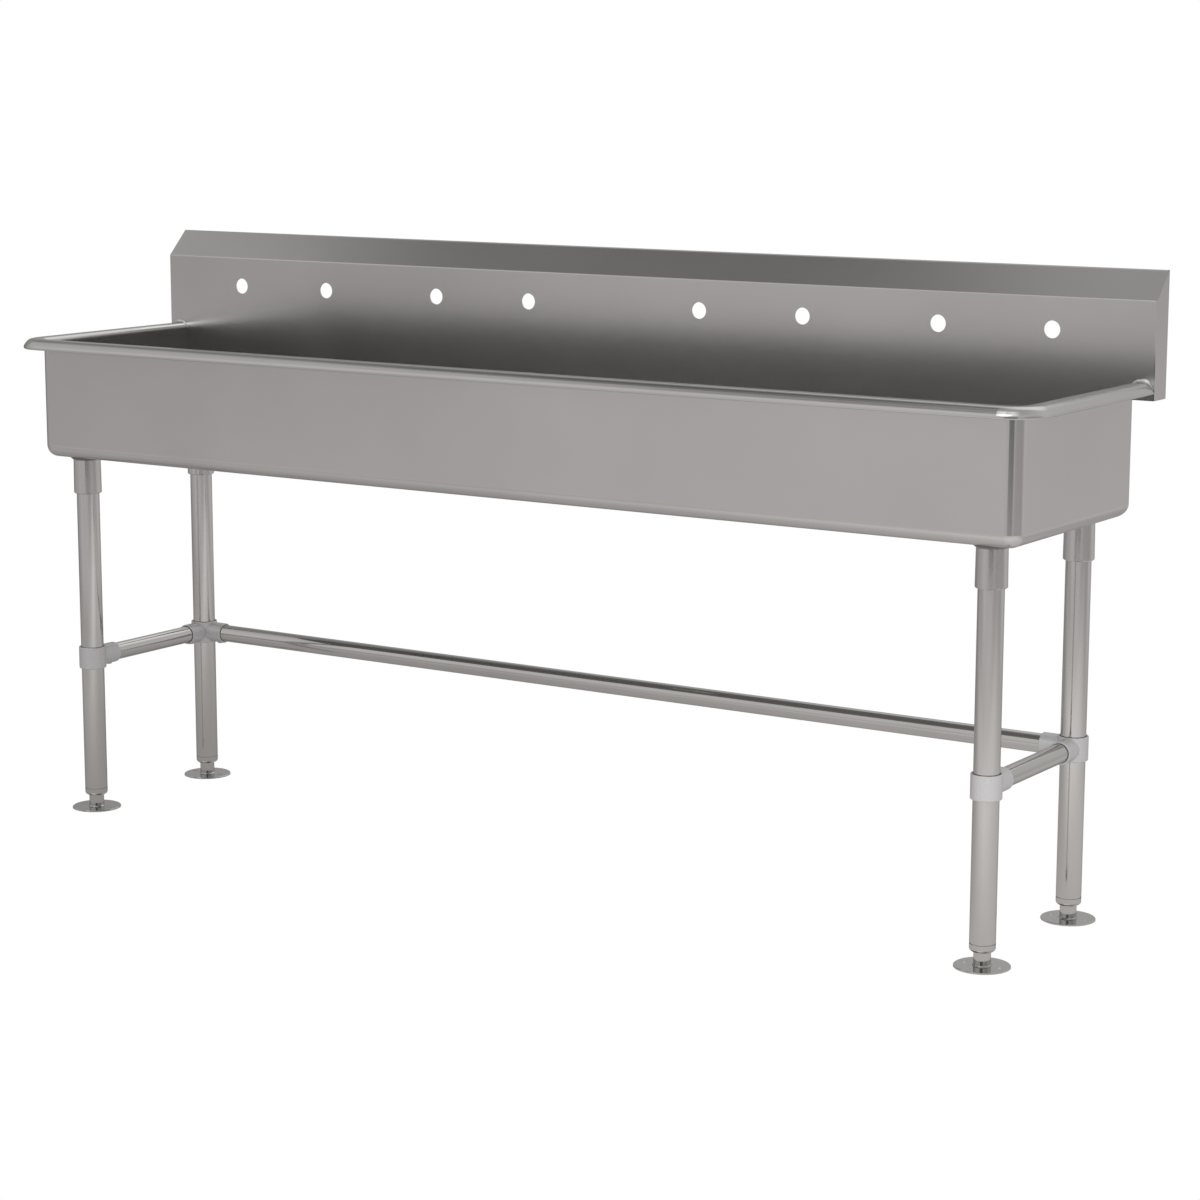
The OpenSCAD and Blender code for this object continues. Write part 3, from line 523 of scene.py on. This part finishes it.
away = put(tree, "ShaderNodeVectorMath", {0: squeezed, 1: FLOOR_MIDDLE}, operation="DISTANCE")
away = away.outputs["Value"]
# Painted light and shade: the floor's glow, as the steel sees it, is set by place.
shade = figure(tree, "MULTIPLY", spread(tree, spot.outputs[0], *TO_THE_RIGHT),
               spread(tree, spot.outputs[1], *TO_THE_BACK))
painted_glow = figure(tree, "MULTIPLY", spread(tree, away, *NEAR_SINK), shade)
painted_glow = figure(tree, "MULTIPLY", painted_glow, spread(tree, away, *FURTHER_OUT))
lit = put(tree, "ShaderNodeEmission", {"Color": FLOOR_TINT, "Strength": painted_glow}).outputs[0]
far_off = spread(tree, away, *FLOOR_END, way="SMOOTHSTEP")
mirrored = put(tree, "ShaderNodeMixShader", {0: far_off, 1: lit, 2: clear}).outputs[0]
seen = put(tree, "ShaderNodeLightPath").outputs["Is Camera Ray"]
either = put(tree, "ShaderNodeMixShader", {0: seen, 1: mirrored, 2: to_camera}).outputs[0]
put(tree, "ShaderNodeOutputMaterial", {0: either})
floor_mesh.materials.append(paint)

# ---------------------------------------------------------------------------------------------
# The flag: a dim upright cloth just in front of the camera, square to the line from the middle of
# the sink. Only the steel's reflections show it, and the camera looks through it.

FLAG_AT = Vector((2.0, -3.7, 0))
FLAG_HALF, FLAG_FOOT, FLAG_TOP = 1.35, 0.1, 2.05
FLAG_LIGHT = 0.12
flag_face = Vector((-FLAG_AT.y, FLAG_AT.x, 0)).normalized() * FLAG_HALF
flag_mesh = bpy.data.meshes.new("flag")
flag_mesh.from_pydata([FLAG_AT + flag_face * side + Vector((0, 0, height))
                       for side, height in ((-1, FLAG_FOOT), (1, FLAG_FOOT), (1, FLAG_TOP), (-1, FLAG_TOP))],
                      [], SQUARE)
flag = placed("flag", flag_mesh)
cloth = bpy.data.materials.new("flag_cloth")
cloth.use_nodes = True
tree = cloth.node_tree
tree.nodes.clear()
dim = put(tree, "ShaderNodeEmission", {"Color": (1, 1, 1, 1), "Strength": FLAG_LIGHT}).outputs[0]
put(tree, "ShaderNodeOutputMaterial", {0: dim})
flag_mesh.materials.append(cloth)
flag.visible_camera = False
flag.visible_diffuse = False
flag.visible_shadow = False

# ---------------------------------------------------------------------------------------------
# The surround: white to the camera, and to everything else a soft light that depends on direction
# alone. LEVELS is its brightness by elevation. PATCHES dim or raise it and BOXES add light, each
# round an azimuth and elevation, whole inside the first radius and gone by the second, in degrees.

LEVELS = [(-90, 0.38), (-30, 0.55), (-12, 0.6), (-3, 0.48), (4, 0.53), (20, 0.58), (35, 0.56), (50, 0.5),
          (65, 0.42), (90, 0.42)]
WARM_BELOW, WARM_ABOVE, WARM_BLUE = 0.955, 0.98, 0.96
PATCHES = [(156, 18, 12, 30, -0.34), (146, 53, 6, 26, -0.5), (-128, 24, 12, 36, 0.1),
           (-122, -16, 5, 20, 0.08), (162, -12, 6, 26, -0.3), (-108, -3, 5, 20, -0.04),
           (-8, -8, 15, 50, -0.34), (-165, 0, 5, 36, -0.16), (-131, -1, 3, 11, -0.26),
           (57, -6, 10, 40, 0.06)]
BOXES = [(-95, 45, 10, 20, 1.5), (-66, 58, 4, 16, 0.7), (95, 52, 14, 32, 0.45), (-118, 60, 3, 12, 0.5)]
CEILING_FROM, CEILING_TO = (0.775, 0.79), (0.905, 0.88)
CEILING_LEFT = (-0.36, -0.44)
CEILING_GAIN = -0.56

world = bpy.data.worlds.new("studio")
bpy.context.scene.world = world
world.use_nodes = True
tree = world.node_tree
tree.nodes.clear()
toward = put(tree, "ShaderNodeTexCoord").outputs["Generated"]
axes = put(tree, "ShaderNodeSeparateXYZ", {0: toward})
ramp = put(tree, "ShaderNodeValToRGB", {0: spread(tree, axes.outputs[2], -1.0, 1.0)})
while len(ramp.color_ramp.elements) < len(LEVELS):
    ramp.color_ramp.elements.new(0.5)
for element, (elevation, bright) in zip(ramp.color_ramp.elements, LEVELS):
    element.position = (math.sin(math.radians(elevation)) + 1) / 2
    green = WARM_BELOW if elevation < 0 else WARM_ABOVE
    element.color = (bright, bright * green, bright * WARM_BLUE, 1)


def patch(azimuth, elevation, inner, outer):
    """How far a direction lies inside a round patch of the surround: 1 in it, 0 outside."""
    a, e = math.radians(azimuth), math.radians(elevation)
    centre = (math.cos(a) * math.cos(e), math.sin(a) * math.cos(e), math.sin(e))
    near = put(tree, "ShaderNodeVectorMath", {0: toward, 1: centre}, operation="DOT_PRODUCT").outputs["Value"]
    return spread(tree, near, math.cos(math.radians(outer)), math.cos(math.radians(inner)), way="SMOOTHSTEP")


light = ramp.outputs[0]
for azimuth, elevation, inner, outer, gain in PATCHES:
    kept = figure(tree, "MULTIPLY_ADD", patch(azimuth, elevation, inner, outer), gain, 1.0)
    light = sized(tree, light, kept)
low_edge = spread(tree, axes.outputs[2], *CEILING_FROM, way="SMOOTHSTEP")
high_edge = spread(tree, axes.outputs[2], *CEILING_TO, way="SMOOTHSTEP")
left_edge = spread(tree, axes.outputs[0], *CEILING_LEFT, way="SMOOTHSTEP")
dark_ceiling = figure(tree, "MULTIPLY", figure(tree, "MULTIPLY", low_edge, high_edge), left_edge)
light = sized(tree, light, figure(tree, "MULTIPLY_ADD", dark_ceiling, CEILING_GAIN, 1.0))
for azimuth, elevation, inner, outer, gain in BOXES:
    boxed = sized(tree, (1, 1, 1), figure(tree, "MULTIPLY", patch(azimuth, elevation, inner, outer), gain))
    light = vectors(tree, "ADD", light, boxed)
seen = put(tree, "ShaderNodeLightPath").outputs["Is Camera Ray"]
shown = put(tree, "ShaderNodeMix", {0: seen, 6: light, 7: (1, 1, 1, 1)}, data_type="RGBA").outputs[2]
sky = put(tree, "ShaderNodeBackground", {"Color": shown}).outputs[0]
put(tree, "ShaderNodeOutputWorld", {0: sky})
bpy.context.scene.view_settings.view_transform = "Standard"

# ---------------------------------------------------------------------------------------------
# The softbox: a square lamp in front and to the right, aimed low at the sink's right end. Glossy
# reflections don't show it.

LAMP_AT, LAMP_TO = Vector((2.2, -2.0, 1.1)), Vector((0.9, 0, 0.25))
softbox = bpy.data.lights.new("softbox", "AREA")
softbox.size = 1.2
softbox.energy = 42
lamp = placed("softbox", softbox)
lamp.matrix_world = (Matrix.Translation(LAMP_AT)
                     @ (LAMP_TO - LAMP_AT).to_track_quat("-Z", "Y").to_matrix().to_4x4())
lamp.visible_glossy = False
